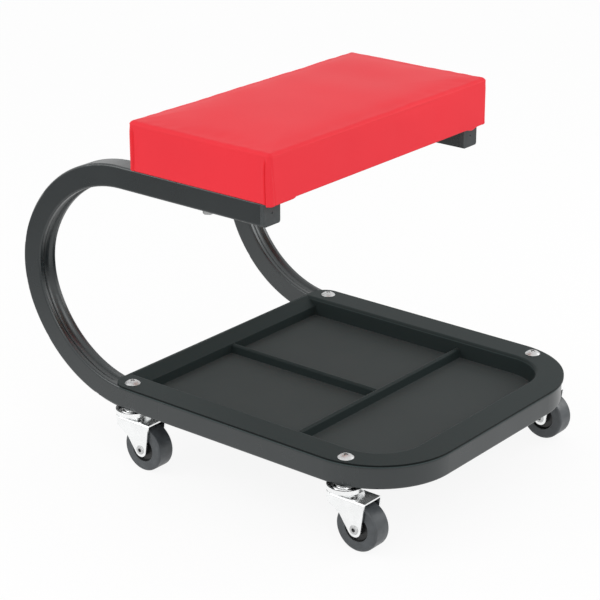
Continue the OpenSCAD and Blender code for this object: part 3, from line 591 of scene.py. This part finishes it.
def mean_wave(waves, x, y, z=0):
    """The mean of sine waves, each with its radians per metre along x, y and z and its phase."""
    return sum(np.sin(x * a + y * b + z * c + phase) for a, b, c, phase in waves) / len(waves)


def hang(x, y, half_x, half_y):
    """How far the folded vinyl hangs below the board in front of the arms.

    It is an even drop up to a distance from the left side, plus a bell at a distance from the right side, times a
    smooth step that falls to 0 a little behind the front side.
    """
    left = LEFT_DROP * (1 - smooth_step(*LEFT_REACH, x + half_x))
    right = RIGHT_DROP * bell(half_x - x, RIGHT_MIDDLE, RIGHT_WIDTH)
    return (left + right) * smooth_step(HANG_REACH[1] - half_y, HANG_REACH[0] - half_y, y)


def ring_faces(row_count, count):
    """Quads between rows of points, each row a closed ring, and triangles to a pole below and one above.

    The poles come after the rings' points, the lower one first.
    """
    ring = np.arange(count)
    after = (ring + 1) % count
    start = np.arange(row_count - 1)[:, None] * count
    last = (row_count - 1) * count
    pole = np.full(count, row_count * count)
    quads = np.stack([start + ring, start + after, start + count + after, start + count + ring], -1).reshape(-1, 4)
    below = np.stack([after, ring, pole], -1)
    above = np.stack([last + ring, last + after, pole + 1], -1)
    return [tuple(face) for face in quads.tolist() + below.tolist() + above.tolist()]


def make_pad_mesh(s):
    """The pad as rings of points: every section row carried round the ring, closed by a pole above and below.

    The corner folds, the draw of the sides and the waves move each ring's points out and in. The waves of the top
    and its edge, and the hang of the hem, move them up and down.
    """
    low, high = (np.array(corner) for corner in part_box("seat_cover"))
    middle = (low + high) / 2
    half_x, half_y = (high[0] - low[0]) / 2, (high[1] - low[1]) / 2
    height = high[2] - low[2] - s.crown
    side, angle, quarter = perimeter()
    inset, level, share, draw, fold = pad_sections(s, height).T[..., None]
    climb = np.clip(level / height, 0, 1)
    radius = np.maximum(s.corner_radius - inset, LEAST_RADIUS)
    x, y, normal, reach = ring_points(half_x - inset, half_y - inset, radius, side[None], angle[None], quarter[None])
    x, y = x * share, y * share
    # The corners alternate, so the crease lies on the short sides and the free edge on the long ones
    nearest = (quarter + (side > 0)) % 4
    turned = reach * np.where(nearest % 2 == 1, 1, -1)
    out = corner_fold(turned, climb, s.fold * FOLD_SHARES[nearest]) * fold
    out -= s.draw * draw * (1 - side[None] ** 2) * (angle[None] == 0)
    out -= SIDE_WAVE * (1 + mean_wave(SOFT_WAVES, x, y, level)) * (draw > 0)
    x = x + normal[..., 0] * out
    y = y + normal[..., 1] * out
    on_top = level >= height - s.edge_radius / 2
    z = level + np.where(on_top, TOP_WAVE * (mean_wave(SOFT_WAVES, x, y) - 1), 0)
    near_edge = bell(level, height - s.edge_radius * PUCKER_MIDDLE, s.edge_radius * PUCKER_WIDTH)
    z = z + PUCKER * (mean_wave(PUCKER_WAVES, x, y) - 1) * (near_edge * smooth_step(*PUCKER_SHARES, share))
    z = z - hang(x, y, half_x, half_y) * (1 - smooth_step(0.0, HANG_CLIMB, climb)) * (inset < HANG_REACH[1])
    rings = np.stack([x + middle[0], y + middle[1], z + low[2]], -1)
    poles = [(middle[0], middle[1], low[2] + CLOSED_AT), (middle[0], middle[1], low[2] + height + s.crown - TOP_WAVE)]
    return np.concatenate([rings.reshape(-1, 3), poles]), ring_faces(*rings.shape[:2])


def add_piece(name, vertices, faces, material):
    """Puts points and faces into a new smooth-shaded mesh object at the origin."""
    mesh = bpy.data.meshes.new(name)
    mesh.from_pydata(np.asarray(vertices).tolist(), [], faces)
    mesh.validate()
    mesh.shade_smooth()
    mesh.materials.append(material)
    piece = bpy.data.objects.new(name, mesh)
    bpy.context.scene.collection.objects.link(piece)
    return piece


def read_points(mesh):
    """The mesh's points as an array."""
    flat = np.empty(len(mesh.vertices) * 3)
    mesh.vertices.foreach_get("co", flat)
    return flat.reshape(-1, 3)


def carry_over(points, rest, motion):
    """The motion at each point: the mean of the motions round it, each weighted by exp(-d^2), d in widths.

    The squared distances of a batch of points p from all q are |p|^2 + |q|^2 - 2 p.q.
    """
    carried = np.empty_like(points)
    for start in range(0, len(points), CARRY_BATCH):
        batch = points[start:start + CARRY_BATCH]
        away = (batch ** 2).sum(1)[:, None] + (rest ** 2).sum(1)[None] - 2 * batch @ rest.T
        weight = np.exp(-away / CARRY_WIDTH ** 2)
        carried[start:start + CARRY_BATCH] = weight @ motion / weight.sum(1, keepdims=True)
    return carried


def foam_swell(vertices, faces):
    """How far each point of the pad moves where the foam presses its tight vinyl out.

    A remeshed copy of the pad is blown up as cloth, held along its foot, where it is stapled to the board, and each
    point of the pad takes the motion of the copy round it. The firm foam caps that motion: its length x becomes
    cap tanh(x / cap).
    """
    scene = bpy.context.scene
    blank = add_piece("pad_blank", vertices, faces, None)
    voxels = blank.modifiers.new("voxels", "REMESH")
    voxels.mode = "VOXEL"
    voxels.voxel_size = SWELL_VOXEL
    fine = blank.data
    coarse = bpy.data.meshes.new_from_object(blank.evaluated_get(bpy.context.evaluated_depsgraph_get()))
    blank.modifiers.clear()
    blank.data = coarse
    bpy.data.meshes.remove(fine)
    rest = read_points(coarse)
    stapled = blank.vertex_groups.new(name="stapled")
    stapled.add(np.flatnonzero(rest[:, 2] < rest[:, 2].min() + SWELL_HELD).tolist(), 1.0, "REPLACE")
    cloth = blank.modifiers.new("foam_pressure", "CLOTH")
    cloth.settings.quality = 5
    cloth.settings.tension_stiffness = 60
    cloth.settings.compression_stiffness = 60
    cloth.settings.shear_stiffness = 20
    cloth.settings.bending_stiffness = 2
    cloth.settings.use_pressure = True
    cloth.settings.uniform_pressure_force = SWELL_PRESSURE
    cloth.settings.effector_weights.gravity = 0
    cloth.settings.vertex_group_mass = "stapled"
    cloth.collision_settings.use_collision = False
    cloth.point_cache.frame_start, cloth.point_cache.frame_end = 1, SWELL_FRAMES
    for step in range(1, SWELL_FRAMES + 1):
        scene.frame_set(step)
    swollen = blank.evaluated_get(bpy.context.evaluated_depsgraph_get())
    motion = read_points(swollen.to_mesh()) - rest
    length = np.linalg.norm(motion, axis=1, keepdims=True) + SWELL_LEAST
    motion = motion * SWELL_CAP * np.tanh(length / SWELL_CAP) / length
    swollen.to_mesh_clear()
    bpy.data.objects.remove(blank)
    bpy.data.meshes.remove(coarse)
    scene.frame_set(1)
    return carry_over(vertices, rest, motion)


# Operators


class SEAT_OT_stage(bpy.types.Operator):
    """Makes the floor, the light and the camera at the photograph's angle"""

    bl_idname = "seat.stage"
    bl_label = "Set the Stage"

    def execute(self, context):
        s = context.scene.seat_stage
        context.scene.view_settings.view_transform = "Standard"
        self.make_floor(s)
        self.make_light(context, s)
        self.make_camera(context)
        return {"FINISHED"}

    def make_floor(self, s):
        """A wide square, white to the camera but for the shadow on it.

        Shiny pieces see a painted pool of light on it: white near the object, and greyer further away, as under a
        softbox.
        """
        half = s.floor_width / 2
        corners = [(-half, -half, 0), (half, -half, 0), (half, half, 0), (-half, half, 0)]
        material, tree, shader, place = new_material("painted_studio_floor_white",
                                                     {"Base Color": linear("#F4F4F4"), "Roughness": 0.9})
        output = next(n for n in tree.nodes if n.bl_idname == "ShaderNodeOutputMaterial")
        path = add_node(tree, "ShaderNodeLightPath")
        far = add_node(tree, "ShaderNodeVectorMath", links={0: place}, operation="LENGTH").outputs["Value"]
        # Painted pool of light: the glow that shiny pieces see dims with the distance from the middle
        pool = add_node(tree, "ShaderNodeMapRange", {"From Min": POOL_NEAR, "From Max": POOL_FAR, "To Min": 1.0,
                                                     "To Max": POOL_DIM},
                        {"Value": far}, interpolation_type="SMOOTHSTEP")
        shiny = add_node(tree, "ShaderNodeMath", links={0: path.outputs["Is Glossy Ray"],
                                                         1: path.outputs["Is Transmission Ray"]}, operation="MAXIMUM")
        strength = add_node(tree, "ShaderNodeMix", {NUMBER_FIRST: 1.0},
                            {MIX_SHARE: shiny.outputs[0], NUMBER_SECOND: pool.outputs["Result"]})
        glow = add_node(tree, "ShaderNodeEmission", {"Color": (1, 1, 1, 1)},
                        {"Strength": strength.outputs[NUMBER_RESULT]})
        seen = add_node(tree, "ShaderNodeMath", links={0: path.outputs["Is Camera Ray"], 1: shiny.outputs[0]},
                        operation="MAXIMUM")
        share = add_node(tree, "ShaderNodeMath", {1: FLOOR_GLOW}, {0: seen.outputs[0]}, operation="MULTIPLY")
        mix = add_node(tree, "ShaderNodeMixShader", links={0: share.outputs[0], 1: shader.outputs[0],
                                                            2: glow.outputs[0]})
        tree.links.new(mix.outputs[0], output.inputs["Surface"])
        floor = add_piece("studio_floor", corners, [(0, 1, 2, 3)], material)

    def make_light(self, context, s):
        """An even sky that the camera and metal see white, a high lamp, and a lower one at each side."""
        world = bpy.data.worlds.new("studio_sky")
        context.scene.world = world
        world.use_nodes = True
        tree = world.node_tree
        tree.nodes.clear()
        path = add_node(tree, "ShaderNodeLightPath")
        white = add_node(tree, "ShaderNodeMath", links={0: path.outputs["Is Camera Ray"],
                                                         1: path.outputs["Is Glossy Ray"]}, operation="MAXIMUM")
        white = add_node(tree, "ShaderNodeMath", links={0: white.outputs[0],
                                                         1: path.outputs["Is Transmission Ray"]}, operation="MAXIMUM")
        seen = add_node(tree, "ShaderNodeBackground", {"Color": (1, 1, 1, 1), "Strength": 1.0})
        lit = add_node(tree, "ShaderNodeBackground", {"Color": (1, 1, 1, 1), "Strength": s.sky})
        mix = add_node(tree, "ShaderNodeMixShader", links={0: white.outputs[0], 1: lit.outputs[0],
                                                            2: seen.outputs[0]})
        add_node(tree, "ShaderNodeOutputWorld", links={"Surface": mix.outputs[0]})
        self.add_lamp(context, "high_softbox", s.key_power, size=1.0, place=(-1.4, -1.6, 1.7), aim=(0, 0, 0.2))
        self.add_lamp(context, "left_softbox", s.left_power, size=0.6, place=(-0.95, 0.75, 0.8),
                      aim=(-0.15, 0, 0.15))
        self.add_lamp(context, "right_softbox", s.right_power, size=0.6, place=(1.15, -0.8, 0.65),
                      aim=(0.1, -0.25, 0.1))

    def add_lamp(self, context, name, power, size, place, aim):
        """A square area lamp at a place, turned to a point."""
        lamp = bpy.data.lights.new(name, "AREA")
        lamp.energy = power
        lamp.size = size
        box = bpy.data.objects.new(name, lamp)
        context.scene.collection.objects.link(box)
        box.location = place
        box.rotation_euler = (Vector(aim) - Vector(place)).to_track_quat("-Z", "Y").to_euler()

    def make_camera(self, context):
        """A long lens at the place and turn that fit the photograph's edges."""
        camera = bpy.data.cameras.new("studio_camera")
        camera.sensor_width = CAMERA_SENSOR
        camera.lens = CAMERA_LENS
        camera.clip_start, camera.clip_end = CAMERA_CLIP
        holder = bpy.data.objects.new("studio_camera", camera)
        context.scene.collection.objects.link(holder)
        holder.matrix_world = Matrix.Translation(CAMERA_PLACE) @ Matrix(CAMERA_AXES).transposed().to_4x4()
        context.scene.camera = holder


class SEAT_OT_frame(bpy.types.Operator):
    """Finishes the bent tube and its end caps"""

    bl_idname = "seat.frame"
    bl_label = "Finish the Frame"

    def execute(self, context):
        s = context.scene.seat_frame
        finish_slot("tube_steel", powder_coat(s))
        finish_slot("black_plastic", moulded_polyethylene(s))
        return {"FINISHED"}


class SEAT_OT_tray(bpy.types.Operator):
    """Finishes the tool tray"""

    bl_idname = "seat.tray"
    bl_label = "Finish the Tray"

    def execute(self, context):
        finish_slot("tray_plastic", moulded_polypropylene(context.scene.seat_tray))
        return {"FINISHED"}


class SEAT_OT_casters(bpy.types.Operator):
    """Finishes the casters, the screws and the seat's fixings"""

    bl_idname = "seat.casters"
    bl_label = "Finish the Casters"

    def execute(self, context):
        s = context.scene.seat_casters
        finish_slot("bright_zinc", bright_zinc(s, "zinc_plated_steel_pressed", smoothest=0.16, roughest=0.28))
        finish(FASTENERS, bright_zinc(s, "zinc_plated_steel_barrel", smoothest=0.38, roughest=0.48, tone=0.62,
                                      shaded_recess=True))
        finish_slot("wheel_plastic", moulded_nylon(s))
        return {"FINISHED"}


class SEAT_OT_pad(bpy.types.Operator):
    """Makes the vinyl pad and finishes its board"""

    bl_idname = "seat.pad"
    bl_label = "Make the Pad"

    def execute(self, context):
        s = context.scene.seat_pad
        finish_slot("plywood", raw_plywood())
        vertices, faces = make_pad_mesh(s)
        vertices = vertices + foam_swell(vertices, faces)
        pad = add_piece("vinyl_pad", vertices, faces, vinyl_leathercloth(s))
        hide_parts("seat_cover", "seat_foam")
        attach(pad, ROOT_BODY)
        return {"FINISHED"}


OPERATORS = (SEAT_OT_stage, SEAT_OT_frame, SEAT_OT_tray, SEAT_OT_casters, SEAT_OT_pad)


class SEAT_PT_panel(bpy.types.Panel):
    """Lists the settings and the steps"""

    bl_idname = "SEAT_PT_panel"
    bl_label = "Creeper Seat"
    bl_space_type = "VIEW_3D"
    bl_region_type = "UI"
    bl_category = "Creeper Seat"

    def draw(self, context):
        for operator in OPERATORS:
            self.layout.operator(operator.bl_idname)
        for name, group in GROUPS.items():
            box = self.layout.box()
            settings = getattr(context.scene, name)
            for key in group.__annotations__:
                box.prop(settings, key)


CLASSES = (*GROUPS.values(), *OPERATORS, SEAT_PT_panel)


def register():
    """Registers the classes and gives the scene its settings."""
    for cls in CLASSES:
        bpy.utils.register_class(cls)
    for name, group in GROUPS.items():
        setattr(bpy.types.Scene, name, PointerProperty(type=group))


def unregister():
    """Takes the settings and the classes away again."""
    for name in GROUPS:
        delattr(bpy.types.Scene, name)
    for cls in reversed(CLASSES):
        bpy.utils.unregister_class(cls)


def main():
    """Runs every step."""
    register()
    bpy.ops.seat.stage()
    bpy.ops.seat.frame()
    bpy.ops.seat.tray()
    bpy.ops.seat.casters()
    bpy.ops.seat.pad()
    bpy.context.view_layer.update()


if __name__ == "__main__":
    main()
